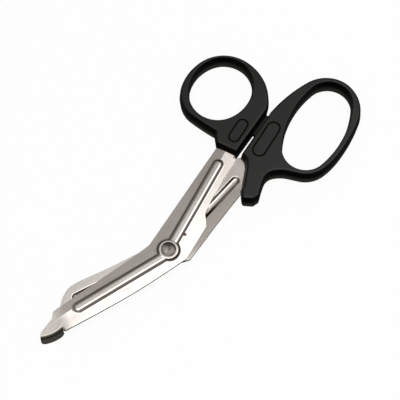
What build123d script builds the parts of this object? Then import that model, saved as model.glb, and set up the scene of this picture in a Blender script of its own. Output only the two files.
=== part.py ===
"""Utility shears for cutting bandages: two pressed steel blades with moulded handles on one rivet.

Frame: +Z up, the shears lie flat, the table is z = 0. The origin is under the middle of the footprint.
+X runs from the jaws to the handles, +Y towards the thumb ring. Lengths are in millimetres.
Plan points are as seen from above, measured from the pivot axis. Heights are from the shear plane.
"""
from build123d import *
from math import cos, radians, sin, tan
import os

# Place of the pivot, measured from the middle of the footprint
pivot_x = -23.1
pivot_y = -31.2

# Sheet steel of the blades
sheet = 1.5
blade_gap = 0.1
roof_angle = 2.5
rib_width = 5.0
rib_height = 0.9
rib_flank = 52.0
crest_round = 1.8
crease_round = 1.2
groove_width = 4.2
groove_round = 1.4
rim_round = 0.5

# Jaws, from the pivot to the start of the foot and to the rounded end
front_jaw_length = 58.7
back_jaw_length = 53.9
front_rib_margin = 7.3
back_rib_margin = 5.7
tip_fade = 5.0

# Ribs: angle of the axis from +X, reach from the pivot, sideways shift to the left of the axis
front_jaw_rib = {"angle": 179.4, "reach": front_jaw_length - front_rib_margin, "shift": 1.4}
front_shank_rib = {"angle": 28.8, "reach": 51.3, "shift": 0.0}
back_jaw_rib = {"angle": 174.6, "reach": back_jaw_length - back_rib_margin, "shift": 0.0}
back_shank_rib = {"angle": 15.8, "reach": 48.3, "shift": 0.0}

# Ridge of each arm of a blade, from which the outer face falls away
front_jaw_ridge = 180.0
front_shank_ridge = 28.8
back_jaw_ridge = 174.6
back_shank_ridge = 15.8

# Pivot
boss_diameter = 10.4
boss_flank = 38.0
boss_round = 0.6
boss_rise = 0.12
hollow_diameter = 7.6
shank_diameter = 4.0
running_clearance = 0.05
head_diameter = 6.8
head_rim = 0.5
head_dome = 1.15
tail_diameter = 6.0
tail_rim = 0.3
tail_dome = 0.95
flat_radius = 0.7
washer_diameter = 8.0
washer_thickness = 0.4

# Folded foot at the end of the front blade: a sector of a turned shape about its own centre
foot_start = -front_jaw_length
foot_centre = (foot_start - 3.2, 9.55)
foot_from = -118.5
foot_sweep = 60.0
foot_radius = 16.15
foot_lean = 7.0
foot_bend = 1.8
foot_depth = 4.8
foot_drop = 0.15
foot_corner = 2.0

# Holes in the tangs, filled by the moulding
front_tang_holes = [(55.5, 28.9), (62.2, 32.1)]
front_tang_hole_diameter = 3.2
back_tang_hole = (57.5, 14.0)
back_tang_hole_diameter = 4.0

# Handle moulding
handle_height = 10.0
draft = 4.5
outer_round = 1.0
hole_round = 0.6
corner_round = 1.2
thumb_end_slope = 20.0
finger_end_slope = 14.0

# Ring holes at the flat faces: middle, turn, half length, half width and radius of the ends
thumb_hole = {"at": (64.04, 53.69), "turn": 31.5, "length": 16.8, "width": 14.6, "end": 13.4}
finger_hole = {"at": (90.42, 13.11), "turn": 30.4, "length": 24.1, "width": 13.3, "end": 10.75}

# Outer outlines of the rings, round each hole: parts of its half length and of its half width
thumb_ring = [(0.716, -1.155), (1.081, -0.272), (0.544, 0.975), (-0.406, 1.17), (-1.081, 0.466), (-1.245, -0.511)]
finger_ring = [
    (-1.114, 0.129), (-1.073, -0.22), (-0.769, -0.901), (-0.385, -1.126),
    (0.434, -1.212), (1.029, -0.475), (1.055, 0.35), (0.764, 1.009),
]

# Bare badges: a groove round a long rounded field
thumb_badge = {"at": (58.5, 30.9), "turn": 25.6, "length": 13.2, "width": 5.8}
finger_badge = {"at": (66.8, 20.2), "turn": 25.5, "length": 19.9, "width": 6.8}
badge_depth = 0.5
badge_line = 0.8

# Straight sides of the two handles that face each other, at their flat faces
thumb_side = (Vector(50.3, 22.1), Vector(73.5, 31.9))
finger_side = (Vector(51.6, 19.5), Vector(76.8, 30.75))

# Stop lug on the lower half of the thumb handle, which meets the finger handle when the shears close
stop_gap = 0.25
stop_length = 11.6
stop_depth = 4.0
stop_bottom = 4.4
stop_top = 1.5

half_height = handle_height / 2
half_gap = blade_gap / 2
outer_face = half_gap + sheet
rib_top = outer_face + rib_height
boss_top = rib_top + boss_rise
rib_fall = rib_width * tan(radians(roof_angle)) + rib_height / 4
over = 5.0
arm_half_width = 25.0
arm_length = 80.0
roof_fall = arm_half_width * tan(radians(roof_angle))
foot_top = outer_face - foot_drop

os.makedirs("parts", exist_ok=True)


def level(height, up=1):
    """Plane square to the pivot axis, at a height from the shear plane, facing up or down."""
    place = (pivot_x, pivot_y, half_height + height)
    return Plane(origin=place, x_dir=(1, 0, 0), z_dir=(0, 0, up))


def heading(angle):
    return Vector(cos(radians(angle)), sin(radians(angle)), 0)


def tangent_arcs(start, way, ends):
    """Row of arcs through the given ends, each one tangent to the last."""
    for end in ends:
        arc = TangentArc(start, end, tangent=way)
        start, way = arc @ 1, arc % 1
    return arc


def roof_section(place, way, crown, fall, up):
    """Cross section of a blade's sheet: flat inside, its outer face falling away on both sides."""
    left = Vector(-way.Y, way.X, 0)
    with BuildSketch(Plane(origin=place, x_dir=left, z_dir=way)) as section:
        with BuildLine():
            Polyline(
                (-arm_half_width, up * half_gap),
                (arm_half_width, up * half_gap),
                (arm_half_width, up * (crown - fall)),
                (0, up * crown),
                (-arm_half_width, up * (crown - fall)),
                close=True,
            )
        make_face()
    return section.sketch


def arm_plate(angle, mitre, up):
    """One arm of a blade's sheet: flat inner face, outer face falling away from the ridge.

    The plate is cut off at the pivot along the mitre, where the other arm takes over.
    """
    way = heading(angle)
    back = Vector(pivot_x, pivot_y, half_height) - way * arm_half_width
    with BuildPart() as plate:
        extrude(roof_section(back, way, outer_face, roof_fall, up), amount=arm_length + arm_half_width)
        across = heading(mitre)
        normal = Vector(-across.Y, across.X, 0)
        if normal.dot(way) < 0:
            normal = normal * -1
        split(bisect_by=Plane(origin=(pivot_x, pivot_y, half_height), z_dir=normal), keep=Keep.TOP)
    return plate.part


def bar(rib, foot, top, width, top_round, up):
    """Bar along a rib's axis with sloping flanks and a rounded top, as wide as given at its foot."""
    way = heading(rib["angle"])
    left = Vector(-way.Y, way.X, 0)
    place = Vector(pivot_x, pivot_y, half_height + up * foot) + left * rib["shift"]
    with BuildPart() as body:
        with BuildSketch(Plane(origin=place, x_dir=way, z_dir=(0, 0, up))):
            with Locations((rib["reach"] / 2 - width / 4, 0)):
                SlotOverall(rib["reach"] + width / 2, width)
        extrude(amount=top - foot, taper=rib_flank)
        fillet(body.faces().sort_by(Axis.Z)[-1 if up > 0 else 0].edges(), top_round)
    return body.part


def boss(foot, up):
    """Round boss with a sloping flank, through which the rivet passes."""
    foot_radius = boss_diameter / 2 + sheet / 2 * tan(radians(boss_flank))
    with BuildPart() as body:
        with BuildSketch(level(up * foot, up)):
            Circle(foot_radius)
        extrude(amount=boss_top - foot, taper=boss_flank)
        fillet(body.faces().sort_by(Axis.Z)[-1 if up > 0 else 0].edges(), boss_round)
    return body.part


def pressing(ribs, up):
    """Ribs and pivot boss that stand out of a blade's outer face."""
    foot = half_gap + sheet / 2
    rib_foot_width = rib_width + sheet * tan(radians(rib_flank))
    with BuildPart() as raised:
        for rib in ribs:
            add(bar(rib, foot, rib_top, rib_foot_width, crest_round, up))
        add(boss(foot, up))
    return raised.part


def hollow(ribs, up):
    """Grooves behind the ribs and the hollow behind the boss, on a blade's inner face."""
    with BuildPart() as sunk:
        for rib in ribs:
            add(bar(rib, half_gap, half_gap + rib_height, groove_width, groove_round, up))
        with BuildSketch(level(up * half_gap, up)):
            Circle(hollow_diameter / 2)
        extrude(amount=rib_height, taper=rib_flank)
    return sunk.part


def edges_near(edges, height, reach):
    """Edges whose middle lies within reach of a height from the shear plane."""
    middle = half_height + height
    return edges.filter_by_position(Axis.Z, middle - reach, middle + reach)


def ring_hole(hole):
    """Oval of four tangent arcs, turned and set in its place."""
    length, width, end_radius = hole["length"], hole["width"], hole["end"]
    end_centre = length - end_radius
    side_radius = (end_centre**2 + width**2 - end_radius**2) / (2 * (width - end_radius))
    lean = Vector(end_centre, side_radius - width).normalized()
    joint = Vector(end_centre, 0) + lean * end_radius
    with BuildSketch() as shape:
        with BuildLine():
            RadiusArc((joint.X, -joint.Y), (joint.X, joint.Y), -end_radius)
            RadiusArc((joint.X, joint.Y), (-joint.X, joint.Y), -side_radius)
            RadiusArc((-joint.X, joint.Y), (-joint.X, -joint.Y), -end_radius)
            RadiusArc((-joint.X, -joint.Y), (joint.X, -joint.Y), -side_radius)
        make_face()
    return Pos(*hole["at"]) * Rot(0, 0, hole["turn"]) * shape.sketch


def around(hole, outline):
    """Plan points of an outline that is given in parts of a ring hole's half length and half width."""
    way = heading(hole["turn"])
    left = heading(hole["turn"] + 90)
    return [Vector(*hole["at"]) + way * along * hole["length"] + left * across * hole["width"]
            for along, across in outline]


def badge_groove(badge):
    """Groove along the edge of a badge, turned and set in its place."""
    with BuildSketch() as groove:
        SlotOverall(badge["length"], badge["width"])
        SlotOverall(badge["length"] - 2 * badge_line, badge["width"] - 2 * badge_line, mode=Mode.SUBTRACT)
    return Pos(*badge["at"]) * Rot(0, 0, badge["turn"]) * groove.sketch


def corners(sketch, *points):
    """Corners of a sketch that lie nearest to the given plan points."""
    return [sketch.vertices().sort_by_distance((x, y, 0))[0] for x, y in points]


def plates(jaw_ridge, shank_ridge, up):
    """The two arms of a blade's sheet, mitred at the pivot."""
    mitre = (jaw_ridge + shank_ridge) / 2
    return [arm_plate(jaw_ridge, mitre, up), arm_plate(shank_ridge, mitre, up)]


# End of the front jaw: the two slopes of the sheet fade into the flat foot
fade_start = foot_start + tip_fade
with BuildPart() as tip:
    jaw_way = heading(front_jaw_ridge)
    for x, crown, fall in ((fade_start, outer_face, roof_fall), (foot_start, foot_top, 0)):
        add(roof_section(Vector(pivot_x + x, pivot_y, half_height), jaw_way, crown, fall, 1))
    loft(ruled=True)

# Front blade: the sheet's outline runs along the spine, the heel and the shank, round the tang, and
# back along the shank and the cutting edge
with BuildPart() as front_sheet:
    add(plates(front_jaw_ridge, front_shank_ridge, 1))
    split(bisect_by=Plane(origin=(pivot_x + fade_start, pivot_y, half_height), z_dir=(1, 0, 0)), keep=Keep.TOP)
    add(tip.part)
    with BuildSketch(level(-over)) as front_outline:
        with BuildLine():
            Spline((foot_start, -6.75), (-40, -7.85), (-22, -8.45), (-10, -8.25), (2.5, -7.75))
            Polyline((2.5, -7.75), (4.6, -7.7), (20.6, 0.5))
            Polyline((20.6, 0.5), (23.7, 6.1), (30, 10.1), (40, 15.6), (49.9, 20.4))
            Polyline((49.9, 20.4), (51.2, 23.2), (53.6, 26.6), (66.6, 31.9))
            Polyline((66.6, 31.9), (64.6, 36.6), (50.6, 32.0), (45.2, 30.1), (-6.0, 6.9))
            Spline((-6.0, 6.9), (-15, 6.1), (-32, 5.1), (foot_start + 0.9, 3.65))
            Polyline(
                (foot_start + 0.9, 3.65),
                (foot_start + 0.2, 3.4),
                (foot_start, 3.15),
                (foot_start, -6.75),
            )
        make_face()
        fillet(corners(front_outline, (foot_start, -6.75)), 0.9)
        fillet(corners(front_outline, (4.6, -7.7), (20.6, 0.5), (49.9, 20.4)), 1.4)
        fillet(corners(front_outline, (-6.0, 6.9), (66.6, 31.9), (64.6, 36.6)), 2.0)
        fillet(corners(front_outline, (23.7, 6.1), (53.6, 26.6)), 2.5)
    extrude(amount=2 * over, mode=Mode.INTERSECT)

# Foot: the end of the sheet turned down over a bend that is curved in plan
foot_axis = Axis((pivot_x + foot_centre[0], pivot_y + foot_centre[1], 0), (0, 0, 1))
with BuildPart() as foot:
    slope = tan(radians(foot_lean))
    outer_corner = (foot_radius - (foot_top + foot_depth) * slope, half_height + foot_top)
    inner_corner = (foot_radius - sheet - (half_gap + foot_depth) * slope, half_height + half_gap)
    foot_plane = Plane(origin=foot_axis.position, x_dir=heading(foot_from), z_dir=heading(foot_from - 90))
    with BuildSketch(foot_plane) as foot_section:
        with BuildLine():
            Polyline(
                (0.5, half_height + half_gap),
                (0.5, half_height + foot_top),
                outer_corner,
                (foot_radius, half_height - foot_depth),
                (foot_radius - sheet, half_height - foot_depth),
                inner_corner,
                close=True,
            )
        make_face()
        fillet(corners(foot_section, outer_corner), foot_bend)
        fillet(corners(foot_section, inner_corner), foot_bend - sheet)
    revolve(axis=foot_axis, revolution_arc=foot_sweep)
    with BuildSketch(level(-half_height)) as tip_outline:
        with BuildLine():
            Polyline(
                (foot_start, 3.15),
                (foot_start - 1.5, 1.2),
                (foot_start - 8.5, -1.5),
                (foot_start - 11.1, -3.4),
                (foot_start - 11.1, -9.0),
                (foot_start, -9.0),
                close=True,
            )
        make_face()
        fillet(corners(tip_outline, (foot_start - 8.5, -1.5)), foot_corner)
    extrude(amount=handle_height, mode=Mode.INTERSECT)
    ends = foot.edges().filter_by(lambda e: e.center().Z < half_height - foot_depth + 0.01)
    sides = ends.filter_by(GeomType.LINE)
    fillet(sides, foot_corner)

front_ribs = [front_jaw_rib, front_shank_rib]
with BuildPart() as front_blade:
    add(front_sheet.part)
    add(foot.part)
    add(pressing(front_ribs, 1))
    fillet(edges_near(front_blade.edges(Select.LAST), outer_face, rib_fall), crease_round)
    add(hollow(front_ribs, 1), mode=Mode.SUBTRACT)
    fillet(edges_near(front_blade.edges(Select.LAST), half_gap, half_gap), rim_round)
    with BuildSketch(level(0)):
        Circle(shank_diameter / 2 + running_clearance)
    extrude(amount=boss_top, mode=Mode.SUBTRACT)
    with BuildSketch(level(0)):
        with Locations(front_tang_holes):
            Circle(front_tang_hole_diameter / 2)
    extrude(amount=boss_top, mode=Mode.SUBTRACT)
front_blade.part.label = "front_blade"
export_step(front_blade.part, "parts/front_blade.step")

# Back blade: rounded upper jaw, and a shank that ends in the tang of the finger handle
back_tip = -back_jaw_length
back_ribs = [back_jaw_rib, back_shank_rib]
with BuildPart() as back_blade:
    add(plates(back_jaw_ridge, back_shank_ridge, -1))
    with BuildSketch(level(-over)) as back_outline:
        with BuildLine():
            Spline((5.8, -8.6), (-5, -5.8), (-25, -3.6), (back_tip + 1.4, 0.9))
            TangentArc((back_tip + 1.4, 0.9), (back_tip, 4.6), tangent=(-0.97, 0.25))
            Spline(
                (back_tip, 4.6),
                (back_tip + 3.7, 8.0),
                (back_tip + 9.9, 10.1),
                tangents=[(0.55, 0.83), (1, 0)],
            )
            Spline(
                (back_tip + 9.9, 10.1),
                (-30, 8.55),
                (-15, 7.1),
                (-7, 6.5),
                tangents=[(1, -0.02), (1, -0.05)],
            )
            Polyline((-7, 6.5), (4, 8.2), (40, 17.6), (52.2, 21.6))
            Polyline((52.2, 21.6), (55.6, 18.2), (64.5, 18.4), (66.0, 13.4), (49.5, 6.4))
            Polyline((49.5, 6.4), (43.4, 5.8), (25, -1.0), (5.8, -8.6))
        make_face()
        fillet(corners(back_outline, (5.8, -8.6), (43.4, 5.8)), 1.2)
        fillet(corners(back_outline, (52.2, 21.6), (64.5, 18.4), (66.0, 13.4)), 2.0)
    extrude(amount=2 * over, mode=Mode.INTERSECT)
    add(pressing(back_ribs, -1))
    fillet(edges_near(back_blade.edges(Select.LAST), -outer_face, rib_fall), crease_round)
    add(hollow(back_ribs, -1), mode=Mode.SUBTRACT)
    fillet(edges_near(back_blade.edges(Select.LAST), -half_gap, half_gap), rim_round)
    with BuildSketch(level(-boss_top)):
        Circle(shank_diameter / 2)
    extrude(amount=boss_top, mode=Mode.SUBTRACT)
    with BuildSketch(level(-boss_top)):
        with Locations(back_tang_hole):
            Circle(back_tang_hole_diameter / 2)
    extrude(amount=boss_top, mode=Mode.SUBTRACT)
back_blade.part.label = "back_blade"
export_step(back_blade.part, "parts/back_blade.step")

# Pivot rivet: domed head in front, formed tail behind the washer, each with a small flat at its top
head_seat = boss_top + running_clearance
tail_seat = boss_top + washer_thickness


def dome(start, end, bulge):
    """Arc from the rim of a rivet's head to the flat at its top."""
    return ThreePointArc(start, (start + end) / 2 + bulge, end)


with BuildPart() as pivot_rivet:
    with BuildSketch(Plane(origin=(pivot_x, pivot_y, half_height), x_dir=(1, 0, 0), z_dir=(0, -1, 0))):
        with BuildLine():
            Polyline(
                (flat_radius, -tail_seat - tail_dome),
                (0, -tail_seat - tail_dome),
                (0, head_seat + head_dome),
                (flat_radius, head_seat + head_dome),
            )
            dome(
                Vector(flat_radius, head_seat + head_dome),
                Vector(head_diameter / 2, head_seat + head_rim),
                Vector(0.09, 0.16),
            )
            Polyline(
                (head_diameter / 2, head_seat + head_rim),
                (head_diameter / 2, head_seat),
                (shank_diameter / 2, head_seat),
                (shank_diameter / 2, -tail_seat),
                (tail_diameter / 2, -tail_seat),
                (tail_diameter / 2, -tail_seat - tail_rim),
            )
            dome(
                Vector(tail_diameter / 2, -tail_seat - tail_rim),
                Vector(flat_radius, -tail_seat - tail_dome),
                Vector(0.09, -0.16),
            )
        make_face()
    revolve(axis=Axis((pivot_x, pivot_y, 0), (0, 0, 1)))
pivot_rivet.part.label = "pivot_rivet"
export_step(pivot_rivet.part, "parts/pivot_rivet.step")

# Washer under the formed tail
with BuildPart() as pivot_washer:
    with BuildSketch(level(-tail_seat)):
        Circle(washer_diameter / 2)
        Circle(shank_diameter / 2, mode=Mode.SUBTRACT)
    extrude(amount=washer_thickness)
pivot_washer.part.label = "pivot_washer"
export_step(pivot_washer.part, "parts/pivot_washer.step")

# Thumb handle: neck over the tang and a nearly round ring. The outline is that of its flat faces,
# run out past the end wall, which is then cut to its own slope.
draft_spread = half_height * tan(radians(draft))
stop_way = (finger_side[1] - finger_side[0]).normalized()
stop_out = Vector(-stop_way.Y, stop_way.X, 0)
stop_foot = finger_side[1] + stop_out * (draft_spread + stop_gap)

with BuildPart() as thumb_handle:
    with BuildSketch(level(half_height)) as thumb_outline:
        with BuildLine():
            side = Line(*thumb_side)
            ring = tangent_arcs(side @ 1, side % 1, [(78.41, 35.59)] + around(thumb_hole, thumb_ring))
            Polyline(ring @ 1, (48.6, 35.0), (46.2, 29.9), side @ 0)
        make_face()
        fillet(corners(thumb_outline, (50.1, 36.4), (48.6, 35.0)), corner_round)
    extrude(amount=-half_height, taper=-draft)
    with BuildSketch(level(0)):
        Polygon((50.11, 22.8), (45.5, 30.86), (40, 40), (30, 20), align=None)
    extrude(amount=half_height + 1, taper=-thumb_end_slope, mode=Mode.SUBTRACT)
    fillet(thumb_handle.faces().sort_by(Axis.Z)[-1].edges(), outer_round)
    with BuildSketch(level(half_height)):
        add(ring_hole(thumb_hole))
    extrude(amount=-half_height, taper=draft, mode=Mode.SUBTRACT)
    fillet(thumb_handle.faces().sort_by(Axis.Z)[-1].inner_wires()[0].edges(), hole_round)
    mirror(about=level(0))
    with BuildSketch(level(-stop_bottom)):
        Polygon(
            stop_foot - stop_way * stop_length,
            stop_foot,
            stop_foot + stop_out * stop_depth,
            stop_foot + stop_out * stop_depth - stop_way * stop_length,
            align=None,
        )
    extrude(amount=stop_bottom - stop_top)
    with BuildSketch(level(half_height)):
        add(badge_groove(thumb_badge))
    extrude(amount=-badge_depth, mode=Mode.SUBTRACT)
    add(front_blade.part, mode=Mode.SUBTRACT)
thumb_handle.part.label = "thumb_handle"
export_step(thumb_handle.part, "parts/thumb_handle.step")

# Finger handle: long ring, and a hook in front of it
with BuildPart() as finger_handle:
    with BuildSketch(level(half_height)) as finger_outline:
        with BuildLine():
            Polyline(finger_side[1], finger_side[0], (45.4, 9.6), (41.0, 1.9), (44.9, -1.2), (48.1, -1.1))
            hook = [(54.6, 4.4), (60.3, 5.2)]
            ring = around(finger_hole, finger_ring)
            tangent_arcs((48.1, -1.1), heading(44), hook + ring + [finger_side[1]])
        make_face()
        fillet(corners(finger_outline, (41.0, 1.9), (44.9, -1.2), (48.1, -1.1)), corner_round)
    extrude(amount=-half_height, taper=-draft)
    with BuildSketch(level(0)):
        Polygon(
            (52.6, 23.0), (52.9, 17.6), (51.3, 14.9), (44.6, 7.6), (41.5, 5.8), (39.8, 1.0),
            (34, 8), (46, 26),
            align=None,
        )
    extrude(amount=half_height + 1, taper=-finger_end_slope, mode=Mode.SUBTRACT)
    fillet(finger_handle.faces().sort_by(Axis.Z)[-1].edges(), outer_round)
    with BuildSketch(level(half_height)):
        add(ring_hole(finger_hole))
    extrude(amount=-half_height, taper=draft, mode=Mode.SUBTRACT)
    fillet(finger_handle.faces().sort_by(Axis.Z)[-1].inner_wires()[0].edges(), hole_round)
    mirror(about=level(0))
    with BuildSketch(level(half_height)):
        add(badge_groove(finger_badge))
    extrude(amount=-badge_depth, mode=Mode.SUBTRACT)
    add(back_blade.part, mode=Mode.SUBTRACT)
finger_handle.part.label = "finger_handle"
export_step(finger_handle.part, "parts/finger_handle.step")
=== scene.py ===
import math

import bpy
import bmesh
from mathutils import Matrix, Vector

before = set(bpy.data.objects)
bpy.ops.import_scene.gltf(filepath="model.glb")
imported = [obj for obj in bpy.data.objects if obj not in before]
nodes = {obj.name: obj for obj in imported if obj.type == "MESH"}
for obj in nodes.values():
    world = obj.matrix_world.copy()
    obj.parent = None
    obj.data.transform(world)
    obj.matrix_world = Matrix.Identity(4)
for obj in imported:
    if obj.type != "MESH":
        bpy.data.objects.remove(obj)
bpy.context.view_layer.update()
print("frame loaded:", ", ".join(sorted(nodes)))

# Sockets of the Mix node by number, because several share one name
mixAmount = 0
valueA, valueB, valueOut = 2, 3, 0
colourA, colourB, colourOut = 6, 7, 2


# Node helpers. A value is given by the socket's own name or number.
def addNode(tree, kind, inputs=None, **settings):
    node = tree.nodes.new(kind)
    for key, value in settings.items():
        setattr(node, key, value)
    for name, value in (inputs or {}).items():
        node.inputs[name].default_value = value
    return node


# From 0 to 1 as a value goes from start to full, which may be lower than start
def ramp(tree, value, start, full):
    node = addNode(tree, "ShaderNodeMapRange", {"From Min": start, "From Max": full}, clamp=True)
    tree.links.new(value, node.inputs["Value"])
    return node.outputs["Result"]


# One math step, such as MULTIPLY, on two sockets
def combine(tree, operation, first, second, **settings):
    node = addNode(tree, "ShaderNodeMath", operation=operation, **settings)
    tree.links.new(first, node.inputs[0])
    tree.links.new(second, node.inputs[1])
    return node.outputs["Value"]


# How level the surface is: 1 facing up or down, 0 on an upright wall
def levelness(tree, place):
    parts = addNode(tree, "ShaderNodeSeparateXYZ")
    size = addNode(tree, "ShaderNodeMath", operation="ABSOLUTE")
    tree.links.new(place.outputs["Normal"], parts.inputs["Vector"])
    tree.links.new(parts.outputs["Z"], size.inputs[0])
    return size.outputs["Value"]


def newGroup(name, inputs, outputs):
    group = bpy.data.node_groups.new(name, "ShaderNodeTree")
    for label, kind, value in inputs:
        socket = group.interface.new_socket(label, in_out="INPUT", socket_type=kind)
        if kind != "NodeSocketVector":
            socket.default_value = value
    for label, kind in outputs:
        group.interface.new_socket(label, in_out="OUTPUT", socket_type=kind)
    return group, group.nodes.new("NodeGroupInput"), group.nodes.new("NodeGroupOutput")


# Fine satin grain of rolled sheet: long streaks and a fine even grain
def makeSatinGrain():
    group, start, end = newGroup(
        "satinGrain",
        [("Vector", "NodeSocketVector", None), ("Grain Scale", "NodeSocketFloat", 3000.0),
         ("Streak Stretch", "NodeSocketFloat", 0.04), ("Streaks", "NodeSocketFloat", 0.6)],
        [("Height", "NodeSocketFloat"), ("Tone", "NodeSocketFloat")],
    )
    link = group.links.new
    stretch = addNode(group, "ShaderNodeCombineXYZ", {"Y": 1.0, "Z": 1.0})
    stretched = addNode(group, "ShaderNodeVectorMath", operation="MULTIPLY")
    streaks = addNode(group, "ShaderNodeTexNoise", {"Detail": 3.0, "Roughness": 0.6})
    grain = addNode(group, "ShaderNodeTexNoise", {"Detail": 2.0, "Roughness": 0.5})
    blend = addNode(group, "ShaderNodeMix", data_type="FLOAT")
    link(start.outputs["Streak Stretch"], stretch.inputs["X"])
    link(start.outputs["Vector"], stretched.inputs[0])
    link(stretch.outputs["Vector"], stretched.inputs[1])
    link(stretched.outputs["Vector"], streaks.inputs["Vector"])
    link(start.outputs["Grain Scale"], streaks.inputs["Scale"])
    link(start.outputs["Vector"], grain.inputs["Vector"])
    link(start.outputs["Grain Scale"], grain.inputs["Scale"])
    link(start.outputs["Streaks"], blend.inputs[mixAmount])
    link(grain.outputs["Fac"], blend.inputs[valueA])
    link(streaks.outputs["Fac"], blend.inputs[valueB])
    link(blend.outputs[valueOut], end.inputs["Height"])
    link(streaks.outputs["Fac"], end.inputs["Tone"])
    return group


# Soft blotches of handling and tarnish, from 0 to 1
def makeBlotches():
    group, start, end = newGroup(
        "blotches",
        [("Vector", "NodeSocketVector", None), ("Size Scale", "NodeSocketFloat", 60.0),
         ("Low", "NodeSocketFloat", 0.4), ("High", "NodeSocketFloat", 0.7)],
        [("Mask", "NodeSocketFloat")],
    )
    link = group.links.new
    large = addNode(group, "ShaderNodeTexNoise", {"Detail": 5.0, "Roughness": 0.55})
    band = addNode(group, "ShaderNodeMapRange", clamp=True)
    link(start.outputs["Vector"], large.inputs["Vector"])
    link(start.outputs["Size Scale"], large.inputs["Scale"])
    link(large.outputs["Fac"], band.inputs["Value"])
    link(start.outputs["Low"], band.inputs["From Min"])
    link(start.outputs["High"], band.inputs["From Max"])
    link(band.outputs["Result"], end.inputs["Mask"])
    return group


# Spark-etched skin of a moulding: fine pebbles and a broader unevenness
def makeMouldedSkin():
    group, start, end = newGroup(
        "mouldedSkin",
        [("Vector", "NodeSocketVector", None), ("Pebble Scale", "NodeSocketFloat", 2600.0),
         ("Uneven Scale", "NodeSocketFloat", 320.0), ("Uneven Share", "NodeSocketFloat", 0.35)],
        [("Height", "NodeSocketFloat"), ("Tone", "NodeSocketFloat")],
    )
    link = group.links.new
    pebbles = addNode(group, "ShaderNodeTexNoise", {"Detail": 3.0, "Roughness": 0.65})
    uneven = addNode(group, "ShaderNodeTexNoise", {"Detail": 2.0})
    blend = addNode(group, "ShaderNodeMix", data_type="FLOAT")
    link(start.outputs["Vector"], pebbles.inputs["Vector"])
    link(start.outputs["Pebble Scale"], pebbles.inputs["Scale"])
    link(start.outputs["Vector"], uneven.inputs["Vector"])
    link(start.outputs["Uneven Scale"], uneven.inputs["Scale"])
    link(start.outputs["Uneven Share"], blend.inputs[mixAmount])
    link(pebbles.outputs["Fac"], blend.inputs[valueA])
    link(uneven.outputs["Fac"], blend.inputs[valueB])
    link(blend.outputs[valueOut], end.inputs["Height"])
    link(pebbles.outputs["Fac"], end.inputs["Tone"])
    return group


# Oval patch on the plan, 1 inside and fading to 0 at its edge
def makePatch():
    group, start, end = newGroup(
        "patch",
        [("Vector", "NodeSocketVector", None), ("Centre", "NodeSocketVector", None),
         ("Turn", "NodeSocketVector", None), ("Half Sizes", "NodeSocketVector", None),
         ("Fade", "NodeSocketFloat", 0.5)],
        [("Mask", "NodeSocketFloat")],
    )
    link = group.links.new
    local = addNode(group, "ShaderNodeMapping", vector_type="TEXTURE")
    reach = addNode(group, "ShaderNodeVectorMath", operation="LENGTH")
    full = addNode(group, "ShaderNodeMath", {0: 1.0}, operation="SUBTRACT")
    band = addNode(group, "ShaderNodeMapRange", {"From Min": 1.0}, clamp=True)
    link(start.outputs["Vector"], local.inputs["Vector"])
    link(start.outputs["Centre"], local.inputs["Location"])
    link(start.outputs["Turn"], local.inputs["Rotation"])
    link(start.outputs["Half Sizes"], local.inputs["Scale"])
    link(local.outputs["Vector"], reach.inputs[0])
    link(reach.outputs["Value"], band.inputs["Value"])
    link(start.outputs["Fade"], full.inputs[1])
    link(full.outputs["Value"], band.inputs["From Max"])
    link(band.outputs["Result"], end.inputs["Mask"])
    return group


satinGrain = makeSatinGrain()
patch = makePatch()
blotches = makeBlotches()
mouldedSkin = makeMouldedSkin()
patchDepth = 1000.0  # half height of a patch, so that it reaches through the part
reliefDistance = 0.0001


def newMaterial(name):
    material = bpy.data.materials.new(name)
    material.use_nodes = True
    tree = material.node_tree
    tree.nodes.clear()
    shader = tree.nodes.new("ShaderNodeBsdfPrincipled")
    output = tree.nodes.new("ShaderNodeOutputMaterial")
    tree.links.new(shader.outputs["BSDF"], output.inputs["Surface"])
    return material, tree, shader


# A shader group with its values, laid over one of the coordinates
def useGroup(tree, group, vector, inputs):
    node = addNode(tree, "ShaderNodeGroup", node_tree=group)
    for name, value in inputs.items():
        node.inputs[name].default_value = value
    tree.links.new(vector, node.inputs["Vector"])
    return node


def addPatch(tree, place, spot):
    return useGroup(tree, patch, place.outputs["Object"], {
        "Centre": (*spot["at"], 0.0),
        "Turn": (0.0, 0.0, spot["turn"]),
        "Half Sizes": (*spot["halfSizes"], patchDepth),
        "Fade": spot["fade"],
    }).outputs["Mask"]


# A tone mixed over a colour socket where the mask is
def tint(tree, colour, mask, tone, share):
    amount = addNode(tree, "ShaderNodeMath", {1: share}, operation="MULTIPLY")
    mixed = addNode(tree, "ShaderNodeMix", {colourB: tone}, data_type="RGBA")
    tree.links.new(mask, amount.inputs[0])
    tree.links.new(amount.outputs["Value"], mixed.inputs[mixAmount])
    tree.links.new(colour, mixed.inputs[colourA])
    return mixed.outputs[colourOut]


def mixTones(tree, amount, first, second):
    node = addNode(tree, "ShaderNodeMix", {colourA: first, colourB: second}, data_type="RGBA")
    tree.links.new(amount, node.inputs[mixAmount])
    return node.outputs[colourOut]


# Roughness between its two ends, and relief from a height
def finishSurface(tree, shader, spec, glossSource, heightSource):
    least, most = spec["roughness"]
    gloss = addNode(tree, "ShaderNodeMapRange", {"To Min": least, "To Max": most})
    relief = addNode(tree, "ShaderNodeBump", {"Strength": spec["bump"], "Distance": reliefDistance})
    tree.links.new(glossSource, gloss.inputs["Value"])
    tree.links.new(gloss.outputs["Result"], shader.inputs["Roughness"])
    tree.links.new(heightSource, relief.inputs["Height"])
    tree.links.new(relief.outputs["Normal"], shader.inputs["Normal"])


bladeSteel = {
    "lightTone": (0.62, 0.58, 0.545, 1.0),
    "darkTone": (0.53, 0.487, 0.447, 1.0),
    "roughness": (0.17, 0.25),
    "grainTurn": math.radians(4.0),
    "bump": 0.028,
    # the dark tone below is painted shade for sloping faces and cut edges
    "flankShade": (0.12, 0.098, 0.08, 1.0),
}

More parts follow.
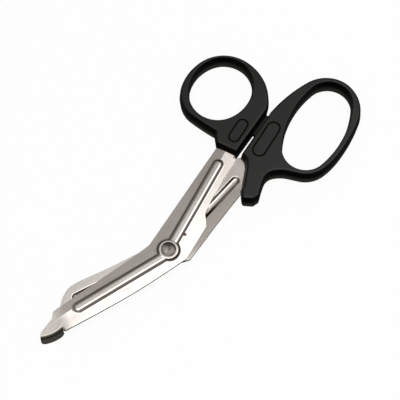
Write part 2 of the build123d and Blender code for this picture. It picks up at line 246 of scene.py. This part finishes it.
# What all the steel shares. A mask's two numbers are how level it is where the mask starts and is full.
steelGrain = {"Grain Scale": 2600.0, "Streak Stretch": 0.03, "Streaks": 0.65}
steelStain = {"Size Scale": 70.0, "Low": 0.42, "High": 0.72}
steelMasks = {"flank": (0.94, 0.6), "flankShare": 0.9, "wall": (0.3, 0.15)}

# Marks and painted light on the front blade: patches on the plan, each with its tone and the share of
# it
frontMarksAndPaintedLight = [
    {"at": (-0.0128, -0.0289), "halfSizes": (0.0011, 0.0009), "turn": 0.0,
     "fade": 0.5, "tone": (0.035, 0.016, 0.008, 1.0), "share": 0.95},  # brown dirt
    {"at": (-0.0485, -0.0366), "halfSizes": (0.0046, 0.0008), "turn": math.radians(-10.8),
     "fade": 0.8, "tone": (0.33, 0.32, 0.31, 1.0), "share": 0.55},  # grey smudge
    {"at": (-0.0851, -0.0327), "halfSizes": (0.0235, 0.0120), "turn": math.radians(10.0),
     "fade": 0.55, "tone": (0.70, 0.65, 0.61, 1.0), "share": 0.9},  # painted light on the tip
    {"at": (-0.0755, -0.0352), "halfSizes": (0.0140, 0.0060), "turn": math.radians(8.0),
     "fade": 0.95, "tone": (0.40, 0.37, 0.35, 1.0), "share": 0.6},  # painted shade at its soft end on the jaw
]

# Painted shade on the back blade's lower shank and painted light on its jaw
backPaintedLightAndShade = [
    {"at": (0.0030, -0.0295), "halfSizes": (0.0270, 0.0052), "turn": math.radians(20.0),
     "fade": 0.35, "tone": (0.33, 0.30, 0.275, 1.0), "share": 0.9},
    {"at": (-0.0600, -0.0235), "halfSizes": (0.0260, 0.0080), "turn": math.radians(10.0),
     "fade": 0.5, "tone": (0.76, 0.72, 0.69, 1.0), "share": 0.8},
]

# Olive painted shade on the foot's bend and paler painted light on its wall,
# outside an unshaded circle about the centre of the bend
footPaintedShadeAndLight = {
    "unshaded": {"at": (-0.0850, -0.02165), "halfSizes": (0.0144, 0.0144), "turn": 0.0, "fade": 0.08},
    "near": {"at": (-0.0889, -0.0372), "halfSizes": (0.0084, 0.0040), "turn": 0.0, "fade": 0.1},
    "share": 0.95,
    "bendTone": (0.17, 0.16, 0.135, 1.0),
    "wallTone": (0.80, 0.78, 0.66, 1.0),
}


def addPatchTones(tree, place, colour, patchTones):
    for patchTone in patchTones:
        colour = tint(tree, colour, addPatch(tree, place, patchTone), patchTone["tone"], patchTone["share"])
    return colour


# Painted shade on the foot's bend and painted light on its wall
def addFootShadeAndLight(tree, place, colour, wall):
    unshaded = addPatch(tree, place, footPaintedShadeAndLight["unshaded"])
    near = addPatch(tree, place, footPaintedShadeAndLight["near"])
    outside = combine(tree, "SUBTRACT", near, unshaded, use_clamp=True)
    onWall = combine(tree, "MULTIPLY", outside, wall)
    colour = tint(tree, colour, outside, footPaintedShadeAndLight["bendTone"], footPaintedShadeAndLight["share"])
    return tint(tree, colour, onWall, footPaintedShadeAndLight["wallTone"], 1.0)


def makeSteel(name, spec, patchTones, paintedFoot=False):
    material, tree, shader = newMaterial(name)
    link = tree.links.new
    place = addNode(tree, "ShaderNodeTexCoord")
    turn = addNode(tree, "ShaderNodeMapping", {"Rotation": (0.0, 0.0, spec["grainTurn"])})
    link(place.outputs["Object"], turn.inputs["Vector"])
    grain = useGroup(tree, satinGrain, turn.outputs["Vector"], steelGrain)
    stain = useGroup(tree, blotches, place.outputs["Object"], steelStain)
    level = levelness(tree, place)
    flank = ramp(tree, level, *steelMasks["flank"])
    colour = mixTones(tree, stain.outputs["Mask"], spec["lightTone"], spec["darkTone"])
    # Painted shade: sloping faces such as rib flanks and cut edges take the dark tone, more the steeper
    # they are
    colour = tint(tree, colour, flank, spec["flankShade"], steelMasks["flankShare"])
    colour = addPatchTones(tree, place, colour, patchTones)
    if paintedFoot:
        colour = addFootShadeAndLight(tree, place, colour, ramp(tree, level, *steelMasks["wall"]))
    shader.inputs["Metallic"].default_value = 1.0
    link(colour, shader.inputs["Base Color"])
    finishSurface(tree, shader, spec, grain.outputs["Tone"], grain.outputs["Height"])
    return material


# The rivet and washer get a dark tone, painted shade for the dark reflections of the dome
rivetSteel = {
    "lightTone": (0.14, 0.126, 0.115, 1.0),
    "darkTone": (0.08, 0.072, 0.065, 1.0),
    "roughness": (0.2, 0.3),
    "grainTurn": 0.0,
    "bump": 0.03,
    # the dark tone below is painted shade for sloping faces and cut edges
    "flankShade": (0.11, 0.10, 0.09, 1.0),
}

# Painted highlight on the left side of the rivet's dome
rivetPaintedHighlight = [
    {"at": (-0.0249, -0.0300), "halfSizes": (0.0023, 0.0025), "turn": 0.0,
     "fade": 0.9, "tone": (0.62, 0.58, 0.55, 1.0), "share": 0.9},
]

handlePlastic = {
    "baseTone": (0.0030, 0.0025, 0.0021, 1.0),
    "wornTone": (0.0068, 0.0058, 0.0049, 1.0),
    "roughness": (0.30, 0.42),
    "gleam": 0.33,
    "bump": 0.25,
}
plasticSkin = {"Pebble Scale": 2400.0}
plasticWear = {"Size Scale": 90.0, "Low": 0.35, "High": 0.75}

# Painted shade in the groove round each badge: the patch it lies in, and the heights on its wall
thumbGrooveShade = {"at": (0.0354, -0.0003), "halfSizes": (0.0080, 0.0037),
               "turn": math.radians(25.6), "fade": 0.05}
fingerGrooveShade = {"at": (0.0437, -0.0110), "halfSizes": (0.0115, 0.0046),
                "turn": math.radians(25.5), "fade": 0.05}
grooveHeights = (0.00988, 0.0097)

# Handle walls: the slope that counts as wall, with painted shade nearly black above and painted light
# paler towards the table
wallLook = {
    "steep": (0.6, 0.38),
    "darkHeights": (0.0046, 0.0066),
    "paleHeights": (0.0062, 0.0018),
    "paleTone": (0.125, 0.112, 0.094, 1.0),
}


def makePlastic(name, spec, groove):
    material, tree, shader = newMaterial(name)
    link = tree.links.new
    place = addNode(tree, "ShaderNodeTexCoord")
    parts = addNode(tree, "ShaderNodeSeparateXYZ")
    link(place.outputs["Object"], parts.inputs["Vector"])
    height = parts.outputs["Z"]
    skin = useGroup(tree, mouldedSkin, place.outputs["Object"], plasticSkin)
    wear = useGroup(tree, blotches, place.outputs["Object"], plasticWear)
    around = addPatch(tree, place, groove)
    grooveShade = combine(tree, "MULTIPLY", ramp(tree, height, *grooveHeights), around)
    wall = ramp(tree, levelness(tree, place), *wallLook["steep"])
    wallShade = combine(tree, "MULTIPLY", wall, ramp(tree, height, *wallLook["darkHeights"]))
    wallLight = combine(tree, "MULTIPLY", wall, ramp(tree, height, *wallLook["paleHeights"]))
    black = combine(tree, "MAXIMUM", grooveShade, wallShade)  # painted shade: metallic over a black tone has no gleam
    colour = mixTones(tree, skin.outputs["Tone"], spec["baseTone"], spec["wornTone"])
    # Painted light: the lower handle walls paler towards the table
    colour = tint(tree, colour, wallLight, wallLook["paleTone"], 1.0)
    shader.inputs["Specular IOR Level"].default_value = spec["gleam"]
    link(black, shader.inputs["Metallic"])
    link(colour, shader.inputs["Base Color"])
    finishSurface(tree, shader, spec, wear.outputs["Mask"], skin.outputs["Height"])
    return material


def dress(nodeName, material):
    for slot in nodes[nodeName].material_slots:
        slot.material = material


dress("front_blade", makeSteel("frontSteel", bladeSteel, frontMarksAndPaintedLight, paintedFoot=True))
dress("back_blade", makeSteel("backSteel", bladeSteel, backPaintedLightAndShade))
rivetMaterial = makeSteel("rivetSteel", rivetSteel, rivetPaintedHighlight)
dress("pivot_rivet", rivetMaterial)
dress("pivot_washer", rivetMaterial)
dress("thumb_handle", makePlastic("thumbPlastic", handlePlastic, thumbGrooveShade))
dress("finger_handle", makePlastic("fingerPlastic", handlePlastic, fingerGrooveShade))
print("materials on")

# Floor, white in the picture, that keeps the object's shadow
floorLook = {"size": 6.0, "tone": 0.06, "roughness": 0.9, "glow": 0.94, "mirroredGlow": 0.01}


def makeFloor(spec):
    material, tree, shader = newMaterial("paleFloor")
    link = tree.links.new
    path = addNode(tree, "ShaderNodeLightPath")
    mirrored = combine(
        tree, "MAXIMUM", path.outputs["Is Glossy Ray"], path.outputs["Is Transmission Ray"],
    )
    faint = addNode(tree, "ShaderNodeMath", {1: spec["mirroredGlow"]}, operation="MULTIPLY")
    glow = addNode(tree, "ShaderNodeMath", {1: spec["glow"]}, operation="MULTIPLY_ADD")
    shader.inputs["Base Color"].default_value = (spec["tone"],) * 3 + (1.0,)
    shader.inputs["Roughness"].default_value = spec["roughness"]
    shader.inputs["Specular IOR Level"].default_value = 0.0
    shader.inputs["Emission Color"].default_value = (1.0, 1.0, 1.0, 1.0)
    link(mirrored, faint.inputs[0])
    link(path.outputs["Is Camera Ray"], glow.inputs[0])
    link(faint.outputs["Value"], glow.inputs[2])
    link(glow.outputs["Value"], shader.inputs["Emission Strength"])
    mesh = bpy.data.meshes.new("floor")
    shape = bmesh.new()
    bmesh.ops.create_grid(shape, x_segments=1, y_segments=1, size=spec["size"] / 2)
    shape.to_mesh(mesh)
    shape.free()
    mesh.materials.append(material)
    floor = bpy.data.objects.new("floor", mesh)
    bpy.context.scene.collection.objects.link(floor)


makeFloor(floorLook)

# Sky that is brighter overhead, plain white to the camera, and one soft box
studio = {
    "skyTone": (1.0, 0.965, 0.935, 1.0),
    "skyRise": (0.1, 0.9),
    "overhead": 0.42,
    "horizon": 0.17,
    "boxCentre": (0.09, -0.122, 1.0),
    "boxTurn": math.radians(7.0),
    "boxSize": (1.5, 0.76),
    "boxLevel": 2.1,
    "boxTone": (0.985, 0.99, 1.0),
}


def makeSky(spec):
    world = bpy.data.worlds.new("studio")
    world.use_nodes = True
    tree = world.node_tree
    tree.nodes.clear()
    link = tree.links.new
    path = addNode(tree, "ShaderNodeLightPath")
    place = addNode(tree, "ShaderNodeTexCoord")
    parts = addNode(tree, "ShaderNodeSeparateXYZ")
    rise = addNode(tree, "ShaderNodeMapRange", {
        "From Min": spec["skyRise"][0], "From Max": spec["skyRise"][1],
        "To Min": spec["horizon"], "To Max": spec["overhead"],
    })
    level = addNode(tree, "ShaderNodeMix", {valueB: 1.0}, data_type="FLOAT")
    tone = mixTones(tree, path.outputs["Is Camera Ray"], spec["skyTone"], (1.0, 1.0, 1.0, 1.0))
    sky = addNode(tree, "ShaderNodeBackground")
    output = addNode(tree, "ShaderNodeOutputWorld")
    link(place.outputs["Generated"], parts.inputs["Vector"])
    link(parts.outputs["Z"], rise.inputs["Value"])
    link(rise.outputs["Result"], level.inputs[valueA])
    link(path.outputs["Is Camera Ray"], level.inputs[mixAmount])
    link(tone, sky.inputs["Color"])
    link(level.outputs[valueOut], sky.inputs["Strength"])
    link(sky.outputs["Background"], output.inputs["Surface"])
    bpy.context.scene.world = world


def makeSoftBox(spec):
    lamp = bpy.data.lights.new("softBox", "AREA")
    lamp.shape = "RECTANGLE"
    lamp.size, lamp.size_y = spec["boxSize"]
    lamp.energy = spec["boxLevel"] * math.pi * lamp.size * lamp.size_y
    lamp.color = spec["boxTone"]
    softBox = bpy.data.objects.new("softBox", lamp)
    softBox.location = spec["boxCentre"]
    softBox.rotation_euler = (0.0, 0.0, spec["boxTurn"])
    bpy.context.scene.collection.objects.link(softBox)


makeSky(studio)
makeSoftBox(studio)

# Camera at the picture's angle: steep, from the lower left of the blades
camera = {
    "target": Vector((0.00256, -0.01791, 0.005)),
    "turn": math.radians(-33.5),
    "height": math.radians(66.0),
    "distance": 0.70,
    "lens": 138.6,
    "sensor": 36.0,
    "clip": (0.01, 20.0),
}


def makeCamera(spec):
    data = bpy.data.cameras.new("camera")
    data.lens = spec["lens"]
    data.sensor_width = spec["sensor"]
    data.clip_start, data.clip_end = spec["clip"]
    back = Vector((
        math.sin(spec["turn"]) * math.cos(spec["height"]),
        -math.cos(spec["turn"]) * math.cos(spec["height"]),
        math.sin(spec["height"]),
    ))
    viewer = bpy.data.objects.new("camera", data)
    viewer.location = spec["target"] + back * spec["distance"]
    viewer.rotation_mode = "QUATERNION"
    viewer.rotation_quaternion = (-back).to_track_quat("-Z", "Y")
    bpy.context.scene.collection.objects.link(viewer)
    bpy.context.scene.camera = viewer


makeCamera(camera)
bpy.context.scene.view_settings.view_transform = "Standard"
print("studio and camera ready")
